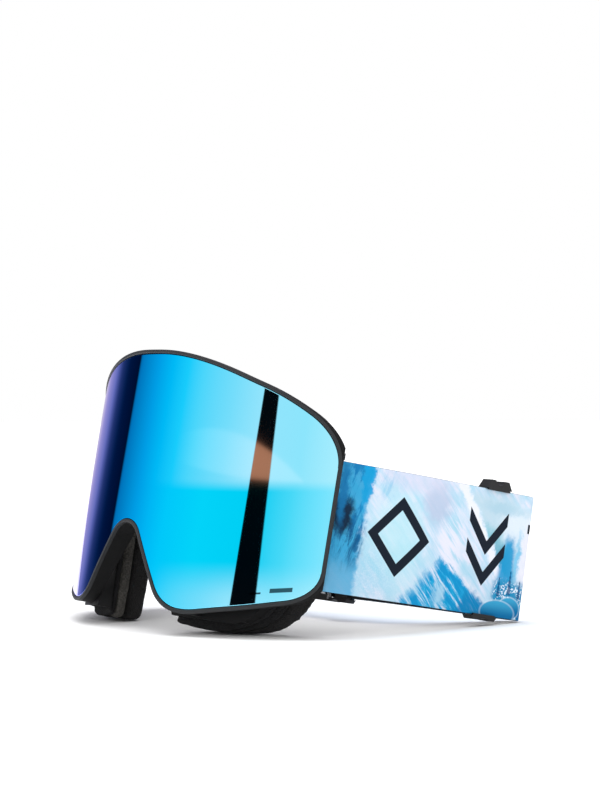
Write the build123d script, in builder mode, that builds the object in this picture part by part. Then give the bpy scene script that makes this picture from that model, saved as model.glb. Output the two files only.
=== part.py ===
"""Ski goggles: a cylindrical lens in a thin rim, layered face foam and a printed elastic strap.

Every piece is drawn with the goggles upright: +X is the wearer's left, +Y runs from the lens to the
face, +Z is up, and the lens's foremost line lies at Y = 0. At the end they are leaned back to the
pose in which they rest on a table, on the cheek foam and the strap's fold.
"""
import os
from math import asin, cos, degrees, radians, sin, sqrt

from build123d import *

# Lens, in millimetres
lens_width = 160.4
lens_height = 96.0
lens_radius = 107.5
lens_thickness = 1.2
lens_top = 48.3
notch_foot = 27.5          # half width of the nose notch at the lens's lower edge
notch_height = 40.6        # height at which the notch's two sides would meet, over the lower edge
notch_radius = 11.3
corner_top_radius = 22.0
corner_bottom_radius = 12.5

# Lens carrier, inner lens and magnets
carrier_inset = 3.3
carrier_depth = 2.7
window_inset = 9.0         # the frame's window, inside the lens's edge
window_width = 128.0
carrier_ledge = 0.8        # how much narrower the carrier's window is than the frame's
inner_lens_inset = 9.5
inner_lens_thickness = 0.8
spacer_depth = 2.8
spacer_width = 1.8
magnet_radius = 1.8
magnet_thickness = 1.2
magnet_inset = 5.2
magnet_recess = 0.1        # how far each magnet lies below its face

# Frame and face frame
rim_gap = 0.3
rim_width = 1.3
rim_proud = 0.2
rim_depth = 2.4
seat_inset = 1.5           # the frame round the lens carrier, inside the lens's edge
back_inset = 2.5           # the frame behind the lens carrier, inside the lens's edge
frame_depth = 6.5
frame_back_radius = 106.0
moving_gap = 0.3
snug = 0.02                # play round a pin, screw, bar or magnet that sits fast
face_frame_depth = 5.0
face_frame_lip = -0.5      # how far the face frame stands out past the foam
face_frame_low = lens_top - lens_height - 2.3     # the face frame ends here, hidden behind the rim
screw_radius = 0.8
screw_head_radius = 1.6
screw_head = 1.0
screw_sink = 1.3
screw_bite = 1.2
vent_width = 12.0
vent_gap = 2.4

# Foam: each layer's depth, and the radius that its back face is curved to
face_radius = 112.0
foam_base_depth, foam_base_radius = 3.0, 114.0
foam_mid_depth, foam_mid_radius = 5.0, 116.0
foam_back_depth, foam_back_radius = 9.5, 119.0
foam_side = 68.0           # half width of the foam at the temples
foam_top = 47.5
foam_bottom = lens_top - lens_height - 5.8
foam_width = 13.0

# Strap
strap_width = 49.0
strap_face = 1.0
strap_lining_thickness = 0.6
strap_rise = 2.0           # degrees by which the strap climbs away from the frame
strap_height = -8.7        # height of the strap's middle line at the pins
tail_width = strap_width - 3.0
tail_thickness = 1.2
pin_radius = 1.5
pin_x, pin_y = 72.5, 42.3
lug_radius = 2.3
lug_thickness = 2.4
lug_gap = 0.6
fold_radius = 5.0

# Adjusters
slider_length = 14.0
slider_wall = 2.0
slider_above = 3.6         # how far the adjuster stands above the strap's upper edge
slider_below = 1.8
slider_lip = 0.8
slider_bar_radius = 1.1
slider_left_run = 79.0     # how far up the strap from the pin line each adjuster is
slider_right_x = 20.0

# Resting pose
lean = 11.5

reach = 90.0               # longer than any piece is deep
axis_y = lens_radius       # the lens's cylinder stands on this Y


def depth_at(x, depth, radius):
    """Y of a curved face at x: a circle of that radius whose foremost point is at that depth."""
    return depth + radius - sqrt(radius**2 - x**2)


def curved_space(front, back):
    """The space between two upright cylinders, each given as (depth, radius)."""
    with BuildPart() as space:
        with BuildSketch(Plane.XY.offset(-reach)):
            with Locations((0, front[0] + front[1])):
                Circle(front[1])
            with Locations((0, back[0] + back[1])):
                Circle(back[1], mode=Mode.SUBTRACT)
            with Locations((0, reach / 2 - 10)):
                Rectangle(4 * reach, reach, mode=Mode.INTERSECT)
        extrude(amount=2 * reach)
    return space.part


def lens_face(depth):
    """A face concentric with the lens, that far behind its front."""
    return (depth, lens_radius - depth)


def lens_outline(grow=0.0, width=None, depth=0.0):
    """The lens seen from the front, grown or shrunk, and trimmed to a width if one is given.

    At a depth behind the lens's front it is as much narrower as the lens's cylinder is there.
    """
    narrow = 1 - depth / lens_radius
    side = lens_width / 2
    low = lens_top - lens_height
    half = [
        (0.32 * side, lens_top, 130.0),
        (side - 17.4, lens_top - 12.5, 60.0),
        (side, lens_top - 24.3, corner_top_radius),
        (side, low + 11.4, corner_bottom_radius),
        (side - 20.1, low + 4.7, 140.0),
        (notch_foot + 12.3, low + 0.1, 28.0),
        (notch_foot, low, 16.0),
    ]
    half = [(narrow * x, z, narrow * r) for x, z, r in half]
    apex = [(0, low + notch_height, narrow * notch_radius)]
    corners = half + apex + [(-x, z, r) for x, z, r in reversed(half)]
    with BuildSketch() as outline:
        with BuildLine():
            FilletPolyline(*[(x, z) for x, z, r in corners], radius=[r for x, z, r in corners], close=True)
        make_face()
        if grow:
            offset(amount=grow)
        if width:
            Rectangle(width, 3 * lens_height, mode=Mode.INTERSECT)
    return outline.sketch


def face_outline(grow=0.0):
    """The outer edge of the foam, seen from the front."""
    half = [
        (24.0, foam_top, 80.0),
        (foam_side - 18.0, foam_top - 8.0, 30.0),
        (foam_side, foam_top - 35.5, 20.0),
        (foam_side, foam_bottom + 24.0, 20.0),
        (foam_side - 9.0, foam_bottom + 5.5, 18.0),
        (foam_side - 23.0, foam_bottom, 20.0),
    ]
    corners = half + [(-x, z, r) for x, z, r in reversed(half)]
    with BuildSketch() as outline:
        with BuildLine():
            FilletPolyline(*[(x, z) for x, z, r in corners], radius=[r for x, z, r in corners], close=True)
        make_face()
        if grow:
            offset(amount=grow)
    return outline.sketch


def eye_outline():
    """The eye opening through the face frame and the foam."""
    side = foam_side - foam_width - 1
    top = foam_top - foam_width
    low = foam_bottom + foam_width
    half = [
        (side - 14.0, top, 20.0),
        (side, top - 22.5, 20.0),
        (side, low + 7.0, 8.0),
        (side - 5.0, low, 7.0),
        (side - 14.0, low, 6.0),
        (22.0, 7.0, 12.0),
    ]
    corners = half + [(-x, z, r) for x, z, r in reversed(half)]
    with BuildSketch() as outline:
        with BuildLine():
            FilletPolyline(*[(x, z) for x, z, r in corners], radius=[r for x, z, r in corners], close=True)
        make_face()
    return outline.sketch


def plate(outline, front, back):
    """A plate of one outline that fills the space between two curved faces."""
    with BuildPart() as solid:
        with BuildSketch(Plane.XZ):
            add(outline)
        extrude(amount=reach, both=True)
        add(curved_space(front, back), mode=Mode.INTERSECT)
    return solid.part


def sector(half_width):
    """A wedge about the lens's axis, whose sides stand square to the lens at that half width."""
    spread = asin(half_width / lens_radius)
    far = 3 * reach
    with BuildPart() as wedge:
        with BuildSketch(Plane.XY.offset(-reach)):
            with BuildLine():
                Polyline(
                    (0, axis_y),
                    (far * sin(spread), axis_y - far * cos(spread)),
                    (-far * sin(spread), axis_y - far * cos(spread)),
                    close=True,
                )
            make_face()
        extrude(amount=2 * reach)
    return wedge.part


def lens_plate(grow, front, back, depth=0.0):
    """A plate of the lens's outline whose temple edges stand square to the lens."""
    slant = sqrt(1 - (lens_width / 2 / lens_radius) ** 2)
    with BuildPart() as solid:
        add(plate(lens_outline(grow, depth=depth), front, back))
        add(sector(lens_width / 2 + slant * grow), mode=Mode.INTERSECT)
    return solid.part


def nose_space():
    """What the nose takes out of the face frame and the foam.

    It starts as the notch in the rim and widens to a tall arch behind it.
    """
    low = lens_top - lens_height
    slope = notch_height / notch_foot
    rim = rim_gap + rim_width
    meet = low + notch_height - rim * sqrt(1 + slope**2)
    top = low + notch_height - notch_radius * (sqrt(1 + slope**2) - 1) - rim
    floor = 1.2 * foam_bottom
    sections = [
        (-10.0, (meet - floor) / slope, (meet - top) / slope, top, notch_radius - rim - 0.2),
        (9.0, (meet - floor) / slope, (meet - top) / slope, top, notch_radius - rim - 0.2),
        (14.0, 21.2, 26.5, -4.0, 14.0),
        (reach / 2, 28.0, 31.0, -1.0, 16.0),
    ]
    with BuildPart() as space:
        for y, foot, shoulder, crown, radius in sections:
            with BuildSketch(Plane.XZ.offset(-y)):
                with BuildLine():
                    FilletPolyline(
                        (foot, floor), (shoulder, crown), (-shoulder, crown), (-foot, floor),
                        radius=[0, radius, radius, 0], close=True,
                    )
                make_face()
        loft(ruled=True)
    return space.part


# The faces between one layer and the next, from front to back
rim_front = lens_face(-rim_proud)
rim_middle = lens_face(rim_depth / 2 - rim_proud)
rim_back = lens_face(rim_depth - rim_proud)
lens_front = lens_face(0.0)
lens_back = lens_face(lens_thickness)
lens_ledge = lens_face(lens_thickness + moving_gap)
carrier_back = lens_face(lens_thickness + carrier_depth)
seat = lens_face(lens_thickness + carrier_depth + moving_gap)
frame_back = (frame_depth, frame_back_radius)
face_back = (frame_depth + face_frame_depth, face_radius)
base_back = (face_back[0] + foam_base_depth, foam_base_radius)
mid_back = (base_back[0] + foam_mid_depth, foam_mid_radius)
fleece_back = (mid_back[0] + foam_back_depth, foam_back_radius)
open_front = lens_face(-8.0)

# Where the magnets sit, as x and the side of the window they are on
magnet_places = [(x, edge) for edge in ("brow", "cheek") for x in ((18, 46) if edge == "brow" else (44, 60))]


def on_lens(x, z, depth):
    """A plane square to the lens at x and z, facing out, that far behind the lens's front."""
    turn = asin(x / lens_radius)
    span = lens_radius - depth
    return Plane(
        origin=(span * sin(turn), axis_y - span * cos(turn), z),
        x_dir=(cos(turn), sin(turn), 0),
        z_dir=(sin(turn), -cos(turn), 0),
    )


def edge_height(x, edge, inset):
    """The height of the lens's upper or lower edge at x, moved inwards."""
    column = Edge.make_line((x, 0 if edge == "brow" else -15), (x, 80 if edge == "brow" else -80))
    cut = lens_outline(-inset).face().outer_wire().intersect(column)
    hits = [v.Y if isinstance(v, Vector) else v.center().Y for v in cut]
    return max(hits) if edge == "brow" else min(hits)


def magnets(depth, radius, thickness):
    """Discs set into a face concentric with the lens."""
    with BuildPart() as discs:
        for side in (-1, 1):
            for x, edge in magnet_places:
                z = edge_height(x, edge, magnet_inset)
                with BuildSketch(on_lens(side * x, z, depth)):
                    Circle(radius)
                extrude(amount=-thickness)
    return discs.part


# Lens assembly
magnet_floor = carrier_back[0] - magnet_thickness
carrier_middle = lens_thickness + carrier_depth / 2
with BuildPart() as outer_lens:
    add(lens_plate(0.0, lens_front, lens_back))

with BuildPart() as lens_carrier:
    add(lens_plate(-carrier_inset, lens_back, carrier_back, carrier_middle))
    carrier_window = lens_outline(carrier_ledge - window_inset, window_width + 2 * carrier_ledge)
    add(plate(carrier_window, open_front, frame_back), mode=Mode.SUBTRACT)
    add(magnets(magnet_floor, magnet_radius + snug, 2 * magnet_thickness), mode=Mode.SUBTRACT)

with BuildPart() as carrier_magnets:
    add(magnets(magnet_floor, magnet_radius, magnet_thickness - magnet_recess))

inner_width = window_width - 2 * (inner_lens_inset - window_inset)
spacer_back = lens_face(lens_thickness + spacer_depth)
spacer_window = lens_outline(-inner_lens_inset - spacer_width, inner_width - 2 * spacer_width)
with BuildPart() as lens_spacer:
    add(plate(lens_outline(-inner_lens_inset, inner_width), lens_back, spacer_back))
    add(plate(spacer_window, open_front, frame_back), mode=Mode.SUBTRACT)

with BuildPart() as inner_lens:
    inner_lens_back = lens_face(spacer_back[0] + inner_lens_thickness)
    add(plate(lens_outline(-inner_lens_inset, inner_width), spacer_back, inner_lens_back))

# Strap: its line lies in a plane that climbs from the pins, with s measured along that plane
strap_plane = Plane(
    origin=(0, pin_y, strap_height),
    x_dir=(1, 0, 0),
    z_dir=(0, -sin(radians(strap_rise)), cos(radians(strap_rise))),
)
wrap_radius = pin_radius + moving_gap + strap_lining_thickness
band_x = pin_x + wrap_radius
strap_corners = [
    (band_x, 0.0, 0.0),
    (band_x, 37.5, 100.0),
    (65.8, 123.5, fold_radius),
    (46.0, 50.5, 24.0),
    (-64.0, 43.0, 20.0),
    (-band_x, 21.0, 30.0),
    (-band_x, 0.0, 0.0),
]


def ribbon(points, near, far, width, wraps=False):
    """A strip that stands square on the strap's plane, between two offsets from a line of corners.

    Positive offsets lie on the side of the head, negative ones outside. With wraps, the line also
    runs round both pins.
    """
    with BuildLine() as line:
        FilletPolyline(*[(x, s) for x, s, r in points], radius=[r for x, s, r in points[1:-1]])
        if wraps:
            CenterArc((pin_x, 0), wrap_radius, 180, 180)
            CenterArc((-pin_x, 0), wrap_radius, 180, 180)
    edges = []
    for amount in (near, far):
        side = Side.LEFT if amount > 0 else Side.RIGHT
        edges.append(line.wire().offset_2d(abs(amount), side=side, closed=False) if amount else line.wire())
    start, finish = edges[0] @ 0, edges[0] @ 1
    other_start, other_finish = edges[1] @ 0, edges[1] @ 1
    if (start - other_start).length > (start - other_finish).length:
        other_start, other_finish = other_finish, other_start
    with BuildPart() as strip:
        with BuildSketch(strap_plane.offset(-width / 2)):
            with BuildLine():
                add(edges)
                Line(start, other_start)
                Line(finish, other_finish)
            make_face()
        extrude(amount=width)
    return strip.part


def strap_bars(radius, low, high):
    """Bars on both pin lines, between two heights over the strap's middle."""
    with BuildPart() as bars:
        for side in (-1, 1):
            with BuildSketch(strap_plane.offset(low)):
                with Locations((side * pin_x, 0)):
                    Circle(radius)
            extrude(amount=high - low)
    return bars.part


def lugs(low, high):
    """The lugs that carry the pins, reaching back from the frame between two heights."""
    with BuildPart() as ears:
        for side in (-1, 1):
            with BuildSketch(strap_plane.offset(low)):
                with Locations((side * pin_x, 0)):
                    Circle(lug_radius)
                with Locations((side * pin_x, -lug_reach / 2)):
                    Rectangle(2 * lug_radius, lug_reach)
            extrude(amount=high - low)
    return ears.part


def screws(fit, head_start, head_length):
    """The screws that join the two frames: a head sunk in the face frame and a shank that bites the frame."""
    with BuildPart() as bars:
        for x, z in screw_places:
            back = depth_at(x, *face_back)
            front = depth_at(x, *frame_back) - screw_bite
            with BuildSketch(Plane.XZ.offset(screw_sink - back)):
                with Locations((x, z), (-x, z)):
                    Circle(screw_radius + fit)
            extrude(amount=back - screw_sink - front)
            with BuildSketch(Plane.XZ.offset(head_start - back)):
                with Locations((x, z), (-x, z)):
                    Circle(screw_head_radius + fit)
            extrude(amount=head_length)
    return bars.part


def vent_bars(places, low, high, width, gap):
    """Upright bars through a wall of the face frame, one for each vent."""
    with BuildPart() as bars:
        with BuildSketch(Plane.XY.offset(low)):
            for x in places:
                middle = (depth_at(x, *frame_back) + depth_at(x, *face_back)) / 2
                with Locations(Location((x, middle), degrees(asin(x / face_radius)))):
                    Rectangle(width, gap)
        extrude(amount=high - low)
    return bars.part


def gasket():
    """The gasket's ring, sunk in the lens seat."""
    outer = lens_outline(-gasket_outer, window_width + 2 * (window_inset - gasket_outer))
    inner = lens_outline(-gasket_inner, window_width + 2 * (window_inset - gasket_inner))
    with BuildPart() as ring:
        add(plate(outer, seat, lens_face(seat[0] + gasket_depth)))
        add(plate(inner, open_front, face_back), mode=Mode.SUBTRACT)
    return ring.part


def nose_outline():
    """The rim's outline near the nose only, where the frame's wall is as deep as the rim is wide."""
    with BuildSketch() as outline:
        add(lens_outline(rim_gap + rim_width))
        with Locations((0, lens_top - lens_height)):
            Rectangle(2 * nose_wall_x, 2 * nose_wall_height, mode=Mode.INTERSECT)
    return outline.sketch


def face_frame_outline():
    """The face frame's outer edge: the foam's, cut off where the rim hides it."""
    with BuildSketch() as outline:
        add(face_outline(face_frame_lip))
        with Locations((0, face_frame_low - reach / 2)):
            Rectangle(4 * reach, reach, mode=Mode.SUBTRACT)
    return outline.sketch


def frame_body():
    """The frame in steps: a thin rim round the lens, then a wall round its carrier, then the back."""
    seat_middle = (rim_back[0] + seat[0]) / 2
    back_middle = (seat[0] + frame_depth) / 2
    with BuildPart() as body:
        add(lens_plate(rim_gap + rim_width, rim_front, rim_middle))
        add(lens_plate(rim_gap + rim_width, rim_middle, rim_back, rim_back[0]))
        add(lens_plate(-seat_inset, rim_back, seat, seat_middle))
        add(lens_plate(-back_inset, seat, frame_back, back_middle))
        add(plate(nose_outline(), rim_back, frame_back))
    return body.part


# Outer frame: the rim, the lens seat and the strap lugs
pin_span = strap_width / 2 + lug_gap
pin_top = pin_span + lug_thickness
lug_reach = 9.0
gasket_outer, gasket_inner = window_inset - 1.1, window_inset - 0.4
gasket_depth = 0.5
nose_wall_x, nose_wall_height = 40.0, 37.0
screw_places = [(27, foam_top - 5.0), (42, foam_bottom + 8.0), (66.5, -8.0)]
screw_reach = 3.0          # how far the room over each screw's head reaches past the face frame
screw_room = screws(snug, -screw_reach, screw_reach + screw_sink + screw_head)
carrier_room = lens_outline(moving_gap - carrier_inset, depth=carrier_middle)
with BuildPart() as frame:
    add(frame_body())
    add(lugs(pin_span, pin_top))
    add(lugs(-pin_top, -pin_span))
    add(plate(lens_outline(rim_gap), open_front, lens_ledge), mode=Mode.SUBTRACT)
    add(plate(carrier_room, open_front, seat), mode=Mode.SUBTRACT)
    add(plate(lens_outline(-window_inset, window_width), open_front, face_back), mode=Mode.SUBTRACT)
    add(magnets(seat[0], magnet_radius + snug, magnet_thickness), mode=Mode.SUBTRACT)
    add(strap_bars(pin_radius + snug, -pin_top, pin_top), mode=Mode.SUBTRACT)
    add(screw_room, mode=Mode.SUBTRACT)
    add(gasket(), mode=Mode.SUBTRACT)

with BuildPart() as frame_magnets:
    add(magnets(seat[0] + magnet_recess, magnet_radius, magnet_thickness - magnet_recess))

with BuildPart() as strap_pin_left:
    add(strap_bars(pin_radius, -pin_top, pin_top))
    split(bisect_by=Plane.YZ)

with BuildPart() as strap_pin_right:
    add(strap_bars(pin_radius, -pin_top, pin_top))
    split(bisect_by=Plane.YZ, keep=Keep.BOTTOM)

# Face frame, foam and vents
nose = nose_space()
brow_vents = (-36, -18, 0, 18, 36)
cheek_vents = (-50, -34, 34, 50)
brow_middle = foam_top - foam_width / 2
cheek_middle = foam_bottom + foam_width / 2
with BuildPart() as face_frame:
    add(plate(face_frame_outline(), frame_back, face_back))
    add(plate(eye_outline(), open_front, fleece_back), mode=Mode.SUBTRACT)
    add(nose, mode=Mode.SUBTRACT)
    add(vent_bars(brow_vents, 10, 2 * foam_top, vent_width, vent_gap), mode=Mode.SUBTRACT)
    add(vent_bars(cheek_vents, 2 * foam_bottom, -30, vent_width, vent_gap), mode=Mode.SUBTRACT)
    add(screw_room, mode=Mode.SUBTRACT)

with BuildPart() as frame_screws:
    add(screws(0.0, screw_sink, screw_head))

with BuildPart() as top_vent_foam:
    add(vent_bars(brow_vents, brow_middle - 2, brow_middle + 2, vent_width, vent_gap))
    add(plate(face_outline(), frame_back, face_back), mode=Mode.INTERSECT)

with BuildPart() as bottom_vent_foam:
    add(vent_bars(cheek_vents, cheek_middle - 2, cheek_middle + 2, vent_width, vent_gap))
    add(plate(face_outline(), frame_back, face_back), mode=Mode.INTERSECT)


def foam_layer(front, back, grow):
    """One layer of the face foam, with the room for the eyes and the nose taken out."""
    with BuildPart() as layer:
        add(plate(face_outline(grow), front, back))
        add(plate(eye_outline(), open_front, (fleece_back[0] + 5, fleece_back[1])), mode=Mode.SUBTRACT)
        add(nose, mode=Mode.SUBTRACT)
    return layer.part


# Strap, its tails and the grip beads
def unit(start, finish):
    """The direction from one point of the strap's plane to another."""
    return (Vector(*finish[:2]) - Vector(*start[:2])).normalized()


def beside(before, corner, after, gap):
    """The corner of a line that runs that far inside the strap's own line."""
    first, second = unit(before, corner), unit(corner, after)
    inward = Vector(-first.Y - second.Y, first.X + second.X)
    return Vector(*corner[:2]) + inward * (gap / (1 + first.dot(second)))


def strap_frame(start, finish, place):
    """A plane on the strap: its x runs along the strap, its y up and its normal away from the head."""
    along = unit(start, finish)
    return Plane(
        origin=strap_plane.from_local_coords(place),
        x_dir=strap_plane.from_local_coords(along) - strap_plane.origin,
        z_dir=strap_plane.from_local_coords(Vector(along.Y, -along.X)) - strap_plane.origin,
    )


with BuildPart() as strap_band:
    add(ribbon(strap_corners, 0, -strap_face, strap_width, wraps=True))

with BuildPart() as strap_lining:
    add(ribbon(strap_corners, 0, strap_lining_thickness, strap_width, wraps=True))

slider_gap = 0.3
slider_inner = strap_lining_thickness + slider_gap
bar_level = slider_inner + slider_wall / 2
bar_offset = 4.5           # the bar stands this far from the adjuster's middle, towards the pin
tail_end = bar_offset + slider_bar_radius + slider_gap
run_start, run_finish = strap_corners[1], strap_corners[2]
left_place = Vector(*run_start[:2]) + unit(run_start, run_finish) * (slider_left_run - run_start[1])
back_start, back_finish = strap_corners[3], strap_corners[4]
back_run = (back_start[0] - slider_right_x) / -unit(back_start, back_finish).X
right_place = Vector(*back_start[:2]) + unit(back_start, back_finish) * back_run
left_frame = strap_frame(run_start, run_finish, left_place)
right_frame = strap_frame(back_start, back_finish, right_place)


def bar_point(place, start, finish, towards):
    """Where the tail's line ends, just short of the adjuster's bar."""
    along = unit(start, finish)
    return place + along * (towards * tail_end) + Vector(-along.Y, along.X) * bar_level


tail_x = pin_x - wrap_radius
left_end = bar_point(left_place, run_start, run_finish, -1)
right_end = bar_point(right_place, back_start, back_finish, 1)
right_turn = beside(strap_corners[3], strap_corners[4], strap_corners[5], bar_level)
right_bend = beside(strap_corners[4], strap_corners[5], strap_corners[6], 0.7 * (band_x - tail_x))
tail_half = tail_thickness / 2
tail_start = 0.5            # the tails begin this far from the pin line

with BuildPart() as strap_tail_left:
    with BuildSketch(strap_plane.offset(-tail_width / 2)):
        with BuildLine():
            edge = Vector(tail_half, 0)
            start = Vector(tail_x, tail_start)
            Polyline(start + edge, left_end + edge, left_end - edge, start - edge, close=True)
        make_face()
    extrude(amount=tail_width)

right_tail_corners = [
    (right_end.X, right_end.Y, 0),
    (right_turn.X, right_turn.Y, strap_corners[4][2] - bar_level),
    (right_bend.X, right_bend.Y, strap_corners[5][2] - 3),
    (-tail_x, tail_start, 0),
]
with BuildPart() as strap_tail_right:
    add(ribbon(right_tail_corners, tail_half, -tail_half, tail_width))

fold = strap_corners[2]
grip_length, grip_width, grip_height = 26.0, 1.4, 0.5
grip_place = Vector(*fold[:2]) + unit(fold, back_start) * 42.0
with BuildPart() as grip_strips:
    with BuildSketch(strap_frame(fold, back_start, grip_place).offset(-strap_lining_thickness)):
        with GridLocations(0, strap_width / 4, 1, 3):
            SlotOverall(grip_length, grip_width)
    extrude(amount=-grip_height)


# Adjusters: an inner plate, an end block over each edge of the strap and a steel bar for the tail
def slider(place, towards):
    """An adjuster on a plane of the strap, with its bar on the side that towards points to."""
    edge = strap_width / 2 + slider_gap
    high, low = strap_width / 2 + slider_above, -strap_width / 2 - slider_below
    back = -slider_inner - slider_wall
    front = strap_face + slider_gap
    half = slider_length / 2
    with BuildPart() as body:
        with BuildSketch(place.offset(back)):
            with Locations((-towards * slider_length / 4, 0)):
                Rectangle(half, 2 * edge)
        extrude(amount=slider_wall)
        with BuildSketch(place.offset(back)):
            with BuildLine():
                Polyline((-half, edge), (-half + 2.2, high), (-half + 4.5, high))
                ThreePointArc((-half + 4.5, high), (0, high - 1.9), (half - 4.5, high))
                Polyline((half - 4.5, high), (half - 2.2, high), (half, edge), (-half, edge))
            make_face()
            with BuildLine():
                Polyline((-half, -edge), (-half + 1.2, low), (-half + 4.5, low))
                ThreePointArc((-half + 4.5, low), (0, low + 0.9), (half - 4.5, low))
                Polyline((half - 4.5, low), (half - 1.2, low), (half, -edge), (-half, -edge))
            make_face()
        extrude(amount=front - back + slider_lip)
        with BuildSketch(place.offset(front)):
            with Locations((0, edge - slider_lip / 2), (0, slider_lip / 2 - edge)):
                Rectangle(slider_length - 2.0, slider_lip)
        extrude(amount=slider_lip)
        add(slider_bar(place, towards, snug), mode=Mode.SUBTRACT)
    return body.part


def slider_bar(place, towards, fit=0.0):
    """The adjuster's steel bar, seated in both end blocks."""
    seat_depth = 0.7
    span = strap_width / 2 + slider_gap + seat_depth
    upright = Plane(
        origin=place.from_local_coords((towards * bar_offset, -span, -bar_level)),
        x_dir=place.x_dir,
        z_dir=place.y_dir,
    )
    with BuildPart() as bar:
        with BuildSketch(upright):
            Circle(slider_bar_radius + fit)
        extrude(amount=2 * span)
    return bar.part


with BuildPart() as slider_left:
    add(slider(left_frame, -1))

with BuildPart() as slider_right:
    add(slider(right_frame, 1))

with BuildPart() as slider_bar_left:
    add(slider_bar(left_frame, -1))

with BuildPart() as slider_bar_right:
    add(slider_bar(right_frame, 1))

# The table, as it meets the goggles when they lean back onto the strap's fold
leaned = Location((0, 0, 0), (-lean, 0, 0))
strap_foot = (leaned * strap_band.part).bounding_box().min.Z
table = Plane(origin=(0, 0, 0), z_dir=(0, -sin(radians(lean)), cos(radians(lean)))).offset(strap_foot)

with BuildPart() as foam_base:
    add(foam_layer(face_back, base_back, 0.0))
    split(bisect_by=table)

with BuildPart() as foam_mid:
    add(foam_layer(base_back, mid_back, 0.0))
    split(bisect_by=table)

with BuildPart() as foam_back:
    add(foam_layer(mid_back, fleece_back, 0.0))
    split(bisect_by=table)

with BuildPart() as lens_gasket:
    add(gasket())

pieces = {
    "outer_lens": outer_lens,
    "lens_carrier": lens_carrier,
    "carrier_magnets": carrier_magnets,
    "lens_spacer": lens_spacer,
    "inner_lens": inner_lens,
    "frame": frame,
    "frame_magnets": frame_magnets,
    "lens_gasket": lens_gasket,
    "face_frame": face_frame,
    "frame_screws": frame_screws,
    "top_vent_foam": top_vent_foam,
    "bottom_vent_foam": bottom_vent_foam,
    "foam_base": foam_base,
    "foam_mid": foam_mid,
    "foam_back": foam_back,
    "strap_pin_left": strap_pin_left,
    "strap_pin_right": strap_pin_right,
    "strap_band": strap_band,
    "strap_lining": strap_lining,
    "strap_tail_left": strap_tail_left,
    "strap_tail_right": strap_tail_right,
    "grip_strips": grip_strips,
    "slider_left": slider_left,
    "slider_right": slider_right,
    "slider_bar_left": slider_bar_left,
    "slider_bar_right": slider_bar_right,
}

# Stand the goggles on the table, with the origin under the middle of the whole
whole = Compound(children=[leaned * piece.part for piece in pieces.values()]).bounding_box()
stand = Location((-whole.center().X, -whole.center().Y, -strap_foot)) * leaned
os.makedirs("parts", exist_ok=True)
for name, piece in pieces.items():
    placed = stand * piece.part
    placed.label = name
    export_step(placed, f"parts/{name}.step")

print("overall", [round(v, 2) for v in whole.size])
print("strap length", round(strap_band.part.volume / strap_width / strap_face, 1))
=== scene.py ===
import math
import bpy
import bmesh
import numpy as np
from mathutils import Matrix, Vector


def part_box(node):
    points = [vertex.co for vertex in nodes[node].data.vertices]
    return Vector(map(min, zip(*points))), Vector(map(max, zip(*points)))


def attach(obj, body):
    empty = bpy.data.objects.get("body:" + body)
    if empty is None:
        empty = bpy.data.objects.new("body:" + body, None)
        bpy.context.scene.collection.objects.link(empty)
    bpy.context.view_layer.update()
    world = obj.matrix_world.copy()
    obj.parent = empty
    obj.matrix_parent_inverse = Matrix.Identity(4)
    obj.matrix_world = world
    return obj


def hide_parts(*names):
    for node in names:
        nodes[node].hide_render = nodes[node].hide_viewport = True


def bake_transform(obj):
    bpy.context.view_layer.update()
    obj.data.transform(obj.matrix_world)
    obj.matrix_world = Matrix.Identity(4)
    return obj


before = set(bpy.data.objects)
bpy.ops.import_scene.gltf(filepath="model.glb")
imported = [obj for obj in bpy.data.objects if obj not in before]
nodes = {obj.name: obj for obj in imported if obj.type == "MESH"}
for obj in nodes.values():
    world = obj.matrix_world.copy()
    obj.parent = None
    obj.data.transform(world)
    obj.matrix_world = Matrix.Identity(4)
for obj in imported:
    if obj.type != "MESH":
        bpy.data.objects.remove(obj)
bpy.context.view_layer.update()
print("frame loaded")

# The goggles are drawn upright in millimetres: x to the wearer's left, y from the lens to the face, z up.
# Then they lean back, and the left strap pin shows where the whole stands.
posture = {"lean": 11.5, "pin": (72.5, 42.3, -8.7)}


def leanBack(points):
    turn = math.radians(posture["lean"])
    x, y, z = np.moveaxis(np.asarray(points, float), -1, 0)
    return np.stack([x, y * math.cos(turn) + z * math.sin(turn), z * math.cos(turn) - y * math.sin(turn)], -1)


pinLow, pinHigh = (np.array(corner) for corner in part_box("strap_pin_left"))
standAt = (pinLow + pinHigh) / 2 - leanBack(posture["pin"]) / 1000


def place(points):
    return leanBack(points) / 1000 + standAt


def roundedPath(corners, closed=False, perArc=24):
    # straight runs joined by tangent arcs: each arc begins radius times the tangent of half the turn early
    spots = np.array([corner[:2] for corner in corners], float)
    parts = []
    for k, (x, y, radius) in enumerate(corners):
        if not closed and k in (0, len(corners) - 1):
            parts.append(spots[k][None])
            continue
        ahead = spots[(k + 1) % len(spots)] - spots[k]
        behind = spots[k] - spots[k - 1]
        ahead, behind = ahead / np.linalg.norm(ahead), behind / np.linalg.norm(behind)
        turn = math.atan2(behind[0] * ahead[1] - behind[1] * ahead[0], behind @ ahead)
        begin = spots[k] - behind * radius * math.tan(abs(turn) / 2)
        inward = math.copysign(radius, turn) * np.array([-behind[1], behind[0]])
        angles = math.atan2(*(-inward)[::-1]) + turn * np.linspace(0, 1, perArc)
        parts.append(begin + inward + radius * np.stack([np.cos(angles), np.sin(angles)], -1))
    return np.concatenate(parts)


def evenly(path, count, closed=False):
    # points at equal steps along a path
    if closed:
        path = np.concatenate([path, path[:1]])
    along = np.concatenate([[0], np.cumsum(np.linalg.norm(np.diff(path, axis=0), axis=1))])
    at = np.linspace(0, along[-1], count, endpoint=not closed)
    return np.stack([np.interp(at, along, path[:, 0]), np.interp(at, along, path[:, 1])], -1), at


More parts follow.
